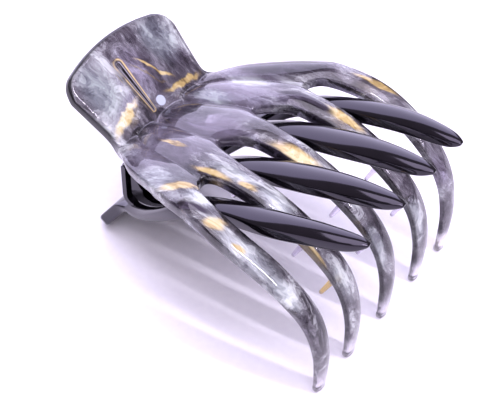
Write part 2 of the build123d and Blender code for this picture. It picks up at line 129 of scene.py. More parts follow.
# Direction of the table's curve at a place along it
def headingAt(x, z, position):
    step = 0.02
    high = min(position + step, len(x) - 1)
    low = max(position - step, 0)
    dx = between(x, high) - between(x, low)
    dz = between(z, high) - between(z, low)
    size = math.hypot(dx, dz)
    return dx / size, dz / size


# A jaw's tines from -y to +y: each one's places across the clip, its widths and how far it lies lower
def tinesOf(jaw):
    level = [0.0] * len(jaw["reach"])
    drops = {"inner": level, "outer": [share * jaw["outerDrop"] for share in jaw["drop"]]}
    tines = []
    for side, order in ((-1, ("outer", "inner")), (1, ("inner", "outer"))):
        for name in order:
            places = [side * s * jaw[name + "Spread"] for s in jaw[name + "Places"]]
            widths = [s * jaw[name + "Width"] for s in jaw[name + "Widths"]]
            tines.append((places, widths, drops[name]))
    if "middleWidths" in jaw:
        tines.insert(len(tines) // 2, (level, [s * jaw["middleWidth"] for s in jaw["middleWidths"]], level))
    return tines


# One row of a jaw's sheet: a list of (top point, bottom point), across the clip from -y to +y
def tineRow(jaw, position, x, z):
    dx, dz = headingAt(x, z, position)
    cx, cz = between(x, position), between(z, position)
    depth = between(jaw["depth"], position)
    spans = []
    for place, width, drop in jaw["tines"]:
        centre, half = between(place, position), between(width, position) / 2
        spans.append([centre - half, centre + half, centre, half, between(drop, position)])
    pit = max(0.0, 1 - position / jaw["pitEnd"]) if jaw["pitEnd"] else 0.0
    valleys = []
    for left, right in zip(spans, spans[1:]):
        middle = (left[1] + right[0]) / 2
        gap = max(jaw["valley"] + pit * jaw["pitWidth"], (right[0] - left[1]) / 2)
        left[1], right[0] = middle - gap, middle + gap
        valleys.append((middle, gap))
    row = []
    for index, (low, high, centre, half, drop) in enumerate(spans):
        crown = min(jaw["crown"] * 2 * half, jaw["crownLimit"] * depth)
        for share in jaw["columns"]:
            y = low + (high - low) * share
            off = min(1.0, abs(y - centre) / half)
            top = crown * off**2 + drop
            row.append((y, top, depth + drop - jaw["belly"] * depth * (off**2)))
        if index < len(valleys):
            middle, gap = valleys[index]
            dip = row[-1][1] + jaw["valleyDip"] + pit * jaw["pitDepth"]
            row.append((middle, dip, min(depth, dip + jaw["web"])))
    inward = (dz, -dx)
    points = []
    for y, top, bottom in row:
        points.append([Vector((cx + inward[0] * d, y, cz + inward[1] * d)) for d in (top, bottom)])
    return points


# A jaw as one closed sheet: plate rows, then tine rows, with the gaps cut out from their root rows on
def buildSheet(name, rows, jaw, roots):
    bm = bmesh.new()
    across, along = len(rows[0]), len(rows)
    bmesh.ops.create_grid(bm, x_segments=across - 1, y_segments=along - 1, size=1)
    rowLayer = bm.verts.layers.int.new("row")
    columnLayer = bm.verts.layers.int.new("column")
    for v in bm.verts:
        v[columnLayer] = round((v.co.x + 1) / 2 * (across - 1))
        v[rowLayer] = round((v.co.y + 1) / 2 * (along - 1))
    columnCount = len(jaw["columns"])
    gone = []
    for face in bm.faces:
        column = min(v[columnLayer] for v in face.verts)
        row = min(v[rowLayer] for v in face.verts)
        gap, part = divmod(column, columnCount + 1)
        if part >= columnCount - 1 and gap < len(roots) and row >= roots[gap]:
            gone.append(face)
    bmesh.ops.delete(bm, geom=gone, context="FACES")
    top = set(bm.verts)
    bmesh.ops.extrude_face_region(bm, geom=bm.faces[:], use_keep_orig=True)
    for v in bm.verts:
        v.co = rows[v[rowLayer]][v[columnLayer]][0 if v in top else 1]
    bmesh.ops.recalc_face_normals(bm, faces=bm.faces[:])
    walls = {f for f in bm.faces if 0 < sum(v in top for v in f.verts) < 4}
    rim = [e for e in bm.edges if sum(f in walls for f in e.link_faces) == 1]
    bmesh.ops.bevel(bm, geom=rim, offset=jaw["edge"], offset_type="OFFSET", segments=1,
                    profile=0.5, affect="EDGES", material=-1, clamp_overlap=True)
    return finishMesh(name, bm)


def finishMesh(name, bm):
    mesh = bpy.data.meshes.new(name)
    for face in bm.faces:
        face.smooth = True
    bm.to_mesh(mesh)
    bm.free()
    piece = bpy.data.objects.new(name, mesh)
    bpy.context.scene.collection.objects.link(piece)
    return piece


# Runs the modifiers of a piece and keeps the result as its mesh
def settle(piece):
    done = bpy.data.meshes.new_from_object(piece.evaluated_get(bpy.context.evaluated_depsgraph_get()))
    done.name = piece.name
    piece.modifiers.clear()
    piece.data = done


# A jaw's rounded mesh from its rows: those of the plate, then those of the tines, one for each station
def jawShell(name, jaw, rows, stations, x, place):
    for row in rows:
        for pair in row:
            for point in pair:
                point += place
    plateRows = len(rows) - len(stations)
    outerRow, innerRow = [
        plateRows + next(i for i, p in enumerate(stations) if between(x, p) >= root - rootSlack)
        for root in (jaw["outerRoot"], jaw["innerRoot"])]
    innerGaps = len(jaw["tines"]) - 3  # all gaps but the outermost two
    shell = buildSheet(name, rows, jaw, [outerRow] + [innerRow] * innerGaps + [outerRow])
    modifier = shell.modifiers.new("roundedSurface", "SUBSURF")
    modifier.levels = subdivisions
    modifier.render_levels = subdivisions
    settle(shell)
    return shell


# Joins the shapes of a bmesh to a piece, or cuts them out of it
def carve(piece, bm, operation):
    bmesh.ops.recalc_face_normals(bm, faces=bm.faces[:])
    tool = finishMesh("tool", bm)
    modifier = piece.modifiers.new("carve", "BOOLEAN")
    modifier.object = tool
    modifier.operation = operation
    modifier.solver = "EXACT"
    settle(piece)
    bpy.data.objects.remove(tool)


# Keeps the corners of cut and joined places crisp, and the rest smooth
def crispCorners(piece):
    bm = bmesh.new()
    bm.from_mesh(piece.data)
    bmesh.ops.dissolve_degenerate(bm, dist=tiny, edges=bm.edges[:])
    for face in bm.faces:
        face.smooth = True
    for edge in bm.edges:
        edge.smooth = edge.calc_face_angle(0) < crispAngle
    bm.to_mesh(piece.data)
    bm.free()


# Hinge ears, and the pin's bore through them
ears = {
    "radius": 3.4 * mm, "thickness": 2.8 * mm, "upperInner": 8.45 * mm, "lowerInner": 11.6 * mm,
    "bore": 1.25 * mm, "boreOver": 1 * mm, "segments": 40, "flatAngle": math.radians(2),
}


# Two ears: each is a disc about the axis, drawn out to a foot inside the jaw
def addEars(bm, inner, footShares, footHeight):
    for side in (-1, 1):
        corners = []
        for y in (side * inner, side * (inner + ears["thickness"])):
            turn = Matrix.Translation(hingePlace + Vector((0, y, 0))) @ Matrix.Rotation(math.pi / 2, 4, "X")
            corners += bmesh.ops.create_circle(bm, segments=ears["segments"], radius=ears["radius"],
                                               matrix=turn)["verts"]
            for share in footShares:
                place = hingePlace + Vector((share * ears["radius"], y, footHeight))
                corners.append(bmesh.ops.create_vert(bm, co=place)["vert"][0])
        made = bmesh.ops.convex_hull(bm, input=corners)["geom"]
        flat = [g for g in made if isinstance(g, bmesh.types.BMEdge)]
        bmesh.ops.dissolve_limit(bm, angle_limit=ears["flatAngle"], verts=corners, edges=flat)


# Grooves that the spring's two legs lie in, one in the handle and one in the tab
spring = {
    "legPlace": 3.0 * mm, "slotWidth": 2.4 * mm, "segments": 24,
    "handleDepth": 1.4 * mm, "handleRun": 16.5 * mm, "tabDepth": 0.9 * mm, "tabRun": 9.6 * mm,
}


# Round-ended slot, drawn flat from the origin along x and as deep as its height
def addSlot(bm, length, height, matrix):
    ring = bmesh.ops.create_circle(bm, cap_ends=True, segments=spring["segments"],
                                   radius=spring["slotWidth"] / 2)["verts"]
    for v in ring:
        if v.co.x > tiny:
            v.co.x += length
    cap = [ring[0].link_faces[0]]
    walls = bmesh.ops.extrude_face_region(bm, geom=cap, use_keep_orig=True)["geom"]
    lid = [g for g in walls if isinstance(g, bmesh.types.BMVert)]
    bmesh.ops.translate(bm, verts=lid, vec=(0, 0, height))
    bmesh.ops.transform(bm, matrix=matrix, verts=ring + lid)


# Cuts the pin's bore and a leg's groove. The plate starts at origin and runs along, facing above
def cutBoreAndGroove(shell, boreLength, origin, along, above, run, depth, level):
    bm = bmesh.new()
    turn = Matrix.Translation(hingePlace) @ Matrix.Rotation(math.pi / 2, 4, "X")
    bmesh.ops.create_cone(bm, cap_ends=True, segments=ears["segments"], radius1=ears["bore"],
                          radius2=ears["bore"], depth=boreLength, matrix=turn)
    plate = Matrix.Translation(origin) @ Matrix((along, above.cross(along), above)).transposed().to_4x4()
    addSlot(bm, run, 2 * depth, plate @ Matrix.Translation((0, 0, level)))
    carve(shell, bm, "DIFFERENCE")
    crispCorners(shell)


def dress(piece, material, body, node):
    piece.data.materials.clear()
    piece.data.materials.append(material)
    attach(piece, body)
    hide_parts(node)


# Marbled cellulose acetate, pressed from swirled sheet and polished: smoky lavender clouds with pearl
# veils, plum shadows and honey flecks lie at some depth, under a wet gloss
marble = {
    "cloudSize": 11 * mm, "cloudStretch": (0.5, 1.0, 0.75), "warpSize": 15.4 * mm, "push": 6 * mm,
    "streakSize": 1.5 * mm, "streakStretch": (0.3, 1.0, 0.6), "streakShare": 0.34,
    "lines": 90, "lineShare": 0.028,  # fine contour lines round the clouds
    "bend": 5 * mm, "ragSize": 2.2 * mm, "rag": 2.4 * mm,  # how far the outlines of the spots wander
    "toneRange": (0.35, 0.65), "clearRange": (0.9, 0.45),  # dark tones let more light through
    "polishSize": 5 * mm, "polishDepth": 0.08 * mm, "polishStrength": 0.25, "roughness": (0.02, 0.07),
    "ior": 1.48,
    "smoke": [(0.30, "#1c181f"), (0.42, "#454049"), (0.50, "#77737a"), (0.58, "#a3a4a8"), (0.68, "#d9dedd")],
}
# Layers over the smoke, one upon the other. A spot is a place in mm in the part's frame, half sizes in mm
# along x, y and z, and a turn about z in degrees
marbleLayers = {
    "veil": {
        "blur": 0.25, "clear": 0.55, "ramp": [(0.30, "#4d4653"), (0.50, "#736c7b"), (0.70, "#a29fae")],
        "spots": [(-14.0, 0.0, 38.5, 13.0, 30.0, 9.0, 0)],
    },
    "plum": {
        "blur": 0.5, "clear": 0.85, "ramp": [(0.36, "#262029"), (0.50, "#5a535f"), (0.64, "#9a95a4")],
        "spots": [
            (-36.0, 1.0, 42.5, 8.0, 6.0, 7.0, 0), (-33.0, 14.0, 39.5, 3.0, 2.6, 3.0, 0),
            (-17.0, 0.5, 38.5, 8.0, 4.0, 5.0, 0), (-31.5, -8.5, 38.5, 2.2, 8.0, 2.6, 17),
            (-31.0, 3.0, 38.0, 2.6, 3.0, 3.0, 0), (-22.0, -2.0, 35.5, 3.0, 3.0, 2.0, 0),
            (2.0, 13.5, 41.0, 7.0, 1.2, 3.0, 0), (38.0, -33.5, 22.0, 3.0, 1.4, 7.0, 0),
            (36.0, 28.5, 24.0, 3.5, 3.0, 8.0, 0),
        ],
    },
    "mist": {
        "blur": 0.5, "clear": 0.5, "ramp": [(0.34, "#4c4c57"), (0.48, "#7f838a"), (0.62, "#bcc6c4")],
        "spots": [
            (-37.0, -12.0, 43.5, 7.0, 4.0, 6.0, 0), (-38.5, 12.5, 44.5, 6.5, 4.5, 6.0, 0),
            (-18.0, 8.0, 38.0, 6.0, 2.0, 3.0, 0),
        ],
    },
    "pearl": {
        "blur": 0.5, "clear": 0.4, "ramp": [(0.34, "#74757d"), (0.48, "#b4babc"), (0.62, "#ebf2ee")],
        "spots": [
            (-10.0, -26.5, 40.0, 9.0, 3.6, 5.0, 25), (5.0, -27.5, 42.0, 4.0, 2.0, 3.0, 10),
            (23.0, -32.6, 38.0, 10.0, 2.6, 5.0, 0), (19.0, -17.0, 40.0, 6.0, 2.6, 4.0, 0),
            (36.0, -16.5, 22.0, 4.0, 1.8, 8.0, 0), (23.0, 14.5, 37.5, 4.0, 1.6, 4.0, 0),
            (-12.0, 17.0, 39.0, 7.0, 2.0, 3.0, 0), (38.0, 15.0, 18.0, 3.0, 1.6, 8.0, 0),
            (28.0, -1.0, 36.0, 4.0, 1.4, 4.0, 0), (31.0, -33.0, 32.0, 6.0, 2.0, 5.0, 0),
            (7.0, -16.2, 42.2, 7.0, 1.8, 2.4, 0), (37.5, -1.5, 24.0, 3.0, 1.6, 7.0, 0),
        ],
    },
    "honey": {
        "blur": 0.35, "clear": 0.35,
        "ramp": [(0.32, "#6f5a32"), (0.44, "#c2a868"), (0.56, "#e2d09a"), (0.70, "#f8f3dc")],
        "spots": [
            (-1.5, -27.0, 41.8, 4.6, 1.3, 3.0, 28), (12.5, -31.5, 41.0, 2.6, 2.0, 3.0, 40),
            (20.5, -33.0, 39.0, 1.8, 1.2, 2.0, 0), (2.5, -18.5, 42.0, 5.0, 1.0, 3.0, 0),
            (11.5, -17.5, 42.0, 2.4, 1.1, 3.0, 0), (14.5, -2.2, 41.5, 7.0, 1.9, 4.0, 5),
            (15.5, 16.2, 41.0, 7.0, 1.5, 4.0, 5), (16.0, 33.0, 40.5, 7.0, 1.0, 3.0, 12),
            (-30.1, -11.3, 37.2, 1.1, 6.3, 4.0, 17), (-28.6, 9.6, 35.9, 0.8, 5.6, 3.0, -6),
            (-34.5, 5.2, 41.0, 5.5, 0.4, 5.0, 38), (30.0, -19.5, 34.0, 7.0, 0.9, 5.0, 0),
            (34.5, -4.0, 29.0, 4.0, 1.0, 5.0, 0), (40.0, 28.5, 3.0, 3.0, 3.0, 2.2, 0),
            (38.5, -18.5, 8.0, 2.0, 1.3, 5.0, 0), (33.0, -15.5, 20.0, 2.4, 2.0, 3.0, 0),
            (-12.0, -13.5, 39.0, 6.0, 0.6, 2.0, 0),
        ],
    },
    # Painted shade: dark pits where the flutes leave the crease, a dark patch at the groove's end, dark
    # lines along the inner edges of the tines, and darker patches on the far flute and on tine tops
    "shade": {
        "blur": 0.3, "clear": 0.3, "ramp": [(0.36, "#0d0a10"), (0.50, "#231e28"), (0.64, "#4a4452")],
        "spots": [
            (4.5, -31.2, 40.5, 7.0, 1.5, 3.5, 20), (-24.6, -11.8, 35.2, 1.8, 0.8, 2.0, 0),
            (-24.6, 11.8, 35.2, 2.2, 0.8, 2.0, 0), (-26.5, -1.0, 34.8, 1.4, 1.6, 2.0, 0),
            (-8.0, 25.0, 39.5, 13.0, 4.2, 6.0, 12), (5.5, 15.0, 42.0, 7.5, 1.8, 3.0, 0),
            (22.0, -28.4, 39.0, 14.0, 0.7, 7.0, 0), (37.0, -28.8, 24.0, 6.0, 0.7, 11.0, 0),
            (12.0, -19.0, 41.0, 6.0, 0.6, 2.4, 0), (10.0, -4.0, 41.0, 6.0, 0.9, 2.4, 0),
            (12.0, 12.6, 41.0, 6.0, 0.9, 2.4, 0),
        ],
    },
}
# The spring groove under the plate, as it shows from above: a dark line of painted shade in an amber outline
grooveShadeAndOutline = {
    "start": (-28.2 * mm, -3.0 * mm, 35.6 * mm), "length": 14.2 * mm,
    "reach": 1.9 * mm, "nearReach": 0.8 * mm,  # half width at the far end and at the start
    "solid": 0.75, "breaks": (0.36, 0.52), "breakShare": 0.35, "clear": 0.2,
    "ramp": [(0.0, "#15121a"), (0.22, "#15121a"), (0.32, "#bdb9c6"), (0.42, "#3b3440"), (0.56, "#5f564f"),
             (0.72, "#dfc990"), (0.84, "#c9aa66"), (1.0, "#8b7a5e")],
}
# Painted shade on the sides of the three middle tines and on the edges of the handle, set by which way the
# surface faces
tineSidePaintedShade = {
    "colour": "#1a161e", "start": 0.45, "full": 0.85, "share": 0.7,
    "within": (27 * mm, 24 * mm), "ahead": (0.0, 6 * mm),  # fades over these places in y and x
}
handleEdgePaintedShade = {
    "colour": "#0c090f", "start": 0.985, "full": 0.8, "share": 0.95, "clear": 0.3,
    "behind": (-28 * mm, -30 * mm),
}
# Tine tips and grip pegs, so thin that they look clear
thinEnds = {
    "tipHeights": (8 * mm, 3 * mm), "tipShare": 0.85, "tipColour": "#eeeaf2",
    "pegSize": (2.6, 1.7, 3.6), "pegBlur": 0.2, "pegColour": "#bfb8c9",  # half sizes in mm
    "amberPeg": 9, "amberColour": "#d6b873", "clear": 0.97,  # one peg is amber
}
# Pale, nearly opaque round spot beside the groove
roundMark = {"spot": (-28.6, 0.5, 36.1, 1.4, 1.4, 1.4, 0), "blur": 0.1, "colour": "#b4bccd", "clear": 0.1}


# Share from 0 to 1 of being inside the nearest of some soft-edged spots
def spotShare(tree, place, spots, blur):
    nearest = None
    for x, y, z, sizeX, sizeY, sizeZ, turn in spots:
        local = addNode(tree, "ShaderNodeMapping", {
            "vector_type": "TEXTURE", "Location": (x * mm, y * mm, z * mm),
            "Rotation": (0, 0, math.radians(turn)), "Scale": (sizeX * mm, sizeY * mm, sizeZ * mm)},
            {"Vector": place}).outputs[0]
        length = addNode(tree, "ShaderNodeVectorMath", {"operation": "LENGTH"}, {0: local}).outputs["Value"]
        if nearest is None:
            nearest = length
        else:
            nearest = addNode(tree, "ShaderNodeMath", {"operation": "MINIMUM"},
                              {0: nearest, 1: length}).outputs[0]
    return addNode(tree, "ShaderNodeMapRange", {
        "interpolation_type": "SMOOTHSTEP", "From Min": 1 + blur, "From Max": 1 - blur},
        {"Value": nearest}).outputs[0]


# Distance from the groove's middle line, from 0 on it to 1 at the edge of its outline
def grooveDistance(tree, place):
    onPlate = addNode(tree, "ShaderNodeMapping", {
        "vector_type": "TEXTURE", "Location": grooveShadeAndOutline["start"], "Rotation": (0, handleAngle, 0)},
        {"Vector": place}).outputs[0]
    onLine = onPlate
    for operation, end in (("MAXIMUM", (-grooveShadeAndOutline["length"], 0, 0)), ("MINIMUM", (0, 0, 0))):
        onLine = addNode(tree, "ShaderNodeVectorMath", {"operation": operation, 1: end},
                         {0: onLine}).outputs[0]
    away = addNode(tree, "ShaderNodeVectorMath", {"operation": "SUBTRACT"},
                   {0: onPlate, 1: onLine}).outputs[0]
    away = addNode(tree, "ShaderNodeVectorMath", {"operation": "MULTIPLY", 1: (1, 1, 0)},
                   {0: away}).outputs[0]
    away = addNode(tree, "ShaderNodeVectorMath", {"operation": "LENGTH"}, {0: away}).outputs["Value"]
    run = addNode(tree, "ShaderNodeSeparateXYZ", {}, {"Vector": onPlate}).outputs["X"]
    reach = addNode(tree, "ShaderNodeMapRange", {
        "From Max": -grooveShadeAndOutline["length"], "To Min": grooveShadeAndOutline["nearReach"], "To Max": grooveShadeAndOutline["reach"]},
        {"Value": run}).outputs[0]
    return addNode(tree, "ShaderNodeMath", {"operation": "DIVIDE"}, {0: away, 1: reach}).outputs[0]


# Shares of painted shade: on the side of a middle tine, and on an edge of the handle, by which way the
# surface faces
def paintedShadeShares(tree, place):
    parts = addNode(tree, "ShaderNodeSeparateXYZ", {}, {"Vector": place}).outputs
    normal = addNode(tree, "ShaderNodeTexCoord", {}, {}).outputs["Normal"]
    sideways = addNode(tree, "ShaderNodeSeparateXYZ", {}, {"Vector": normal}).outputs["Y"]
    upwards = addNode(tree, "ShaderNodeVectorMath", {
        "operation": "DOT_PRODUCT", 1: (math.sin(handleAngle), 0, math.cos(handleAngle))},
        {0: normal}).outputs["Value"]
    offset = addNode(tree, "ShaderNodeMath", {"operation": "ABSOLUTE"}, {0: parts["Y"]}).outputs[0]
    shares = []
    for paint, direction, fades in (
            (tineSidePaintedShade, sideways, ((offset, tineSidePaintedShade["within"]), (parts["X"], tineSidePaintedShade["ahead"]))),
            (handleEdgePaintedShade, upwards, ((parts["X"], handleEdgePaintedShade["behind"]),))):
        facing = addNode(tree, "ShaderNodeMath", {"operation": "ABSOLUTE"}, {0: direction}).outputs[0]
        share = addNode(tree, "ShaderNodeMapRange", {
            "From Min": paint["start"], "From Max": paint["full"], "To Max": paint["share"]},
            {"Value": facing}).outputs[0]
        for source, (start, full) in fades:
            fade = addNode(tree, "ShaderNodeMapRange", {"From Min": start, "From Max": full},
                           {"Value": source}).outputs[0]
            share = addNode(tree, "ShaderNodeMath", {"operation": "MULTIPLY"},
                            {0: share, 1: fade}).outputs[0]
        shares.append(share)
    return shares


# Tone of the swirled sheet, the bent and ragged place that the spots are found at, and a ragged noise
def swirledSheet(tree, place):
    # Clouds, pushed out of place by a larger noise, and fine streaks drawn along the clip
    grain = addNode(tree, "ShaderNodeMapping", {"Scale": marble["cloudStretch"]},
                    {"Vector": place}).outputs[0]
    centred = {"operation": "SUBTRACT", 1: (0.5, 0.5, 0.5)}
    warp = addNode(tree, "ShaderNodeTexNoise", {"Scale": 1 / marble["warpSize"], "Detail": 4.0},
                   {"Vector": grain}).outputs["Color"]
    sway = addNode(tree, "ShaderNodeVectorMath", centred, {0: warp}).outputs[0]
    push = addNode(tree, "ShaderNodeVectorMath", {"operation": "MULTIPLY_ADD", 1: (2 * marble["push"],) * 3},
                   {0: sway, 2: grain}).outputs[0]
    cloud = addNode(tree, "ShaderNodeTexNoise", {
        "Scale": 1 / marble["cloudSize"], "Detail": 6.0, "Roughness": 0.6, "Distortion": 1.4},
        {"Vector": push}).outputs["Fac"]
    drawn = addNode(tree, "ShaderNodeMapping", {"Scale": marble["streakStretch"]},
                    {"Vector": push}).outputs[0]
    streak = addNode(tree, "ShaderNodeTexNoise", {
        "Scale": 1 / marble["streakSize"], "Detail": 4.0, "Distortion": 0.8},
        {"Vector": drawn}).outputs["Fac"]
    tone = addNode(tree, "ShaderNodeMath", {"operation": "MULTIPLY_ADD", 1: marble["streakShare"]},
                   {0: streak, 2: cloud}).outputs[0]
    tone = addNode(tree, "ShaderNodeMath", {"operation": "SUBTRACT", 1: marble["streakShare"] / 2},
                   {0: tone}).outputs[0]
    # Layers of the pressed sheet show as fine contour lines that follow the clouds
    line = addNode(tree, "ShaderNodeMath", {"operation": "MULTIPLY", 1: marble["lines"]},
                   {0: cloud}).outputs[0]
    line = addNode(tree, "ShaderNodeMath", {"operation": "SINE"}, {0: line}).outputs[0]
    tone = addNode(tree, "ShaderNodeMath", {"operation": "MULTIPLY_ADD", 1: marble["lineShare"]},
                   {0: line, 2: tone}).outputs[0]
    ragged = addNode(tree, "ShaderNodeTexNoise", {"Scale": 1 / marble["ragSize"], "Detail": 3.0},
                     {"Vector": drawn}).outputs
    rag = addNode(tree, "ShaderNodeVectorMath", centred, {0: ragged["Color"]}).outputs[0]
    bent = place
    for source, reach in ((sway, marble["bend"]), (rag, marble["rag"])):
        bent = addNode(tree, "ShaderNodeVectorMath", {"operation": "MULTIPLY_ADD", 1: (reach,) * 3},
                       {0: source, 2: bent}).outputs[0]
    return tone, bent, ragged["Fac"]


def marbledAcetate(pegPlaces):
    material, tree = newMaterial("marbledAcetate")
    place = addNode(tree, "ShaderNodeTexCoord", {}, {}).outputs["Object"]
    tone, bent, ragged = swirledSheet(tree, place)
    colour = addNode(tree, "ShaderNodeValToRGB", {"ramp": marble["smoke"]}, {"Fac": tone}).outputs["Color"]
    clear = addNode(tree, "ShaderNodeMapRange", {
        "From Min": marble["toneRange"][0], "From Max": marble["toneRange"][1],
        "To Min": marble["clearRange"][0], "To Max": marble["clearRange"][1]}, {"Value": tone}).outputs[0]
    for layer in marbleLayers.values():
        share = spotShare(tree, bent, layer["spots"], layer["blur"])
        tint = addNode(tree, "ShaderNodeValToRGB", {"ramp": layer["ramp"]}, {"Fac": tone}).outputs["Color"]
        colour = addNode(tree, "ShaderNodeMix", {"data_type": "RGBA"},
                         {0: share, 6: colour, 7: tint}).outputs[2]
        clear = addNode(tree, "ShaderNodeMix", {3: layer["clear"]}, {0: share, 2: clear}).outputs[0]
    # The spring groove shows through the plate: its dark line is painted shade, and its outline is broken
    # here and there
    away = grooveDistance(tree, place)
    outline = addNode(tree, "ShaderNodeValToRGB", {"ramp": grooveShadeAndOutline["ramp"]}, {"Fac": away}).outputs["Color"]
    within = addNode(tree, "ShaderNodeMapRange", {"From Min": 1.0, "From Max": grooveShadeAndOutline["solid"]},
                     {"Value": away}).outputs[0]
    broken = addNode(tree, "ShaderNodeMapRange", {
        "From Min": grooveShadeAndOutline["breaks"][0], "From Max": grooveShadeAndOutline["breaks"][1],
        "To Min": grooveShadeAndOutline["breakShare"]}, {"Value": ragged}).outputs[0]
    within = addNode(tree, "ShaderNodeMath", {"operation": "MULTIPLY"}, {0: within, 1: broken}).outputs[0]
    colour = addNode(tree, "ShaderNodeMix", {"data_type": "RGBA"},
                     {0: within, 6: colour, 7: outline}).outputs[2]
    clear = addNode(tree, "ShaderNodeMix", {3: grooveShadeAndOutline["clear"]}, {0: within, 2: clear}).outputs[0]
    # Painted shade: sides and edges are painted dark by which way they face, for the dark look that light
    # going a long way through the acetate gives there
    side, edge = paintedShadeShares(tree, place)
    height = addNode(tree, "ShaderNodeSeparateXYZ", {}, {"Vector": place}).outputs["Z"]
    tip = addNode(tree, "ShaderNodeMapRange", {
        "From Min": thinEnds["tipHeights"][0], "From Max": thinEnds["tipHeights"][1],
        "To Max": thinEnds["tipShare"]}, {"Value": height}).outputs[0]
    pegSpots = [tuple(c / mm for c in spot) + thinEnds["pegSize"] + (0,) for spot in pegPlaces]
    peg = spotShare(tree, place, pegSpots, thinEnds["pegBlur"])
    amber = spotShare(tree, place, [pegSpots[thinEnds["amberPeg"]]], thinEnds["pegBlur"])
    bare = addNode(tree, "ShaderNodeMath", {"operation": "MAXIMUM"}, {0: tip, 1: peg}).outputs[0]
    mark = spotShare(tree, place, [roundMark["spot"]], roundMark["blur"])
    for share, tint, depth in (
            (side, tineSidePaintedShade["colour"], None), (edge, handleEdgePaintedShade["colour"], handleEdgePaintedShade["clear"]),
            (tip, thinEnds["tipColour"], None), (peg, thinEnds["pegColour"], None),
            (amber, thinEnds["amberColour"], None), (bare, None, thinEnds["clear"]),
            (mark, roundMark["colour"], roundMark["clear"])):
        if tint:
            colour = addNode(tree, "ShaderNodeMix", {"data_type": "RGBA", 7: linear(tint)},
                             {0: share, 6: colour}).outputs[2]
        if depth:
            clear = addNode(tree, "ShaderNodeMix", {3: depth}, {0: share, 2: clear}).outputs[0]
    # The polish leaves a soft wave and hardly any haze
    wave = addNode(tree, "ShaderNodeTexNoise", {"Scale": 1 / marble["polishSize"], "Detail": 1.0},
                   {"Vector": place}).outputs["Fac"]
    polish = addNode(tree, "ShaderNodeBump", {
        "Strength": marble["polishStrength"], "Distance": marble["polishDepth"]},
        {"Height": wave}).outputs[0]
    shine = addNode(tree, "ShaderNodeMapRange", {
        "To Min": marble["roughness"][0], "To Max": marble["roughness"][1]}, {"Value": wave}).outputs[0]
    shader = addNode(tree, "ShaderNodeBsdfPrincipled", {"IOR": marble["ior"]}, {
        "Base Color": colour, "Transmission Weight": clear, "Roughness": shine, "Normal": polish})
    addNode(tree, "ShaderNodeOutputMaterial", {}, {"Surface": shader.outputs[0]})
    return material


# Black injection-moulded plastic with a polished face: deep black that mirrors the lights
blackPlastic = {
    "name": "blackPolishedPlastic", "grainSize": 6 * mm, "detail": 3.0, "colours": ("#040305", "#0b080d"),
    "roughness": (0.05, 0.12), "shader": {"IOR": 1.5, "Specular Tint": linear("#ece4fb")},
}
# Nickel-plated spring steel, drawn to wire: bright grey with a fine grain
springSteel = {
    "name": "nickelPlatedSpringSteel", "grainSize": 0.4 * mm, "detail": 2.0,
    "colours": ("#9c9ba0", "#c9c8cc"), "roughness": (0.2, 0.36), "shader": {"Metallic": 1.0},
}
# Pale backdrop paper, matt and slightly fibrous
backdropPaper = {
    "name": "paleBackdropPaper", "grainSize": 2 * mm, "detail": 2.0, "colours": ("#f2f1f5", "#f6f5f8"),
    "shader": {"Roughness": 0.6, "Specular IOR Level": 0.2},
}


# A material whose colour, and its roughness if that has a range, vary with one fine noise
def grainyMaterial(finish):
    material, tree = newMaterial(finish["name"])
    place = addNode(tree, "ShaderNodeTexCoord", {}, {}).outputs["Object"]
    grain = addNode(tree, "ShaderNodeTexNoise", {
        "Scale": 1 / finish["grainSize"], "Detail": finish["detail"]}, {"Vector": place}).outputs["Fac"]
    dark, light = finish["colours"]
    colour = addNode(tree, "ShaderNodeValToRGB", {"ramp": [(0.3, dark), (0.7, light)]}, {"Fac": grain})
    links = {"Base Color": colour.outputs[0]}
    if "roughness" in finish:
        links["Roughness"] = addNode(tree, "ShaderNodeMapRange", {
            "To Min": finish["roughness"][0], "To Max": finish["roughness"][1]}, {"Value": grain}).outputs[0]
    shader = addNode(tree, "ShaderNodeBsdfPrincipled", finish["shader"], links)
    addNode(tree, "ShaderNodeOutputMaterial", {}, {"Surface": shader.outputs[0]})
    return material


black = grainyMaterial(blackPlastic)
steel = grainyMaterial(springSteel)
print("materials made")

# Upper jaw, in the rows that the part has. Reach and rise are shares of tineReach and archHeight, depthShare
# of tineDepth, and the places and widths of each pair of tines of its own spread and width.
upper = {
    "tineReach": 68.9 * mm, "archHeight": 43.0 * mm, "tineDepth": 4.9 * mm, "tipHeight": 0.27 * mm,
    "innerSpread": 16.2 * mm, "outerSpread": 31.8 * mm, "outerDrop": 0,
    "middleWidth": 6.6 * mm, "innerWidth": 6.6 * mm, "outerWidth": 6.6 * mm,
    "reach": [0, .093, .267, .369, .446, .631, .811, .952, 1.0, .990],
    "rise": [.802, .867, .953, .986, 1.0, .953, .821, .602, .326],  # and then tipHeight
    "depthShare": [.70, .82, .89, .88, .85, .83, .72, .55, .48, .42],
    "drop": [0, 0, 0, 0, 0, 0, 0, 0, 0, 0],
    "middleWidths": [1.79, 1.94, 2.27, 1.45, 1.15, 1.0, .98, .94, .81, .64],
    "innerWidths": [1.06, 1.70, 1.96, 1.67, 1.15, 1.0, .98, .94, .80, .64],
    "innerPlaces": [.534, .691, .840, .951, .975, 1.0, .994, .981, .969, .957],
    "outerWidths": [1.12, 1.38, 1.62, 1.65, 1.14, 1.0, 1.0, .94, .80, .64],
    "outerPlaces": [.475, .619, .755, .836, .925, 1.0, .987, .950, .921, .899],
    "innerRoot": 21.4 * mm, "outerRoot": 27.4 * mm,  # where the gaps between the tines start
    "columns": [0, .17, .34, .5, .66, .83, 1], "crown": 0.12, "crownLimit": 0.4, "belly": 0.06,
    "valley": 0.28 * mm, "valleyDip": 0.35 * mm, "web": 2.4 * mm,
    "pitEnd": 0.5, "pitWidth": 0.3 * mm, "pitDepth": 0.6 * mm,  # pits where the flutes leave the neck
    "noseRows": [1.2 * mm, 3.0 * mm], "spacing": 2.9 * mm, "edge": 0.62 * mm,
    "earFoot": (-.75, .95), "earSink": 0.5,  # shares of the ear's radius and of the neck's depth
}
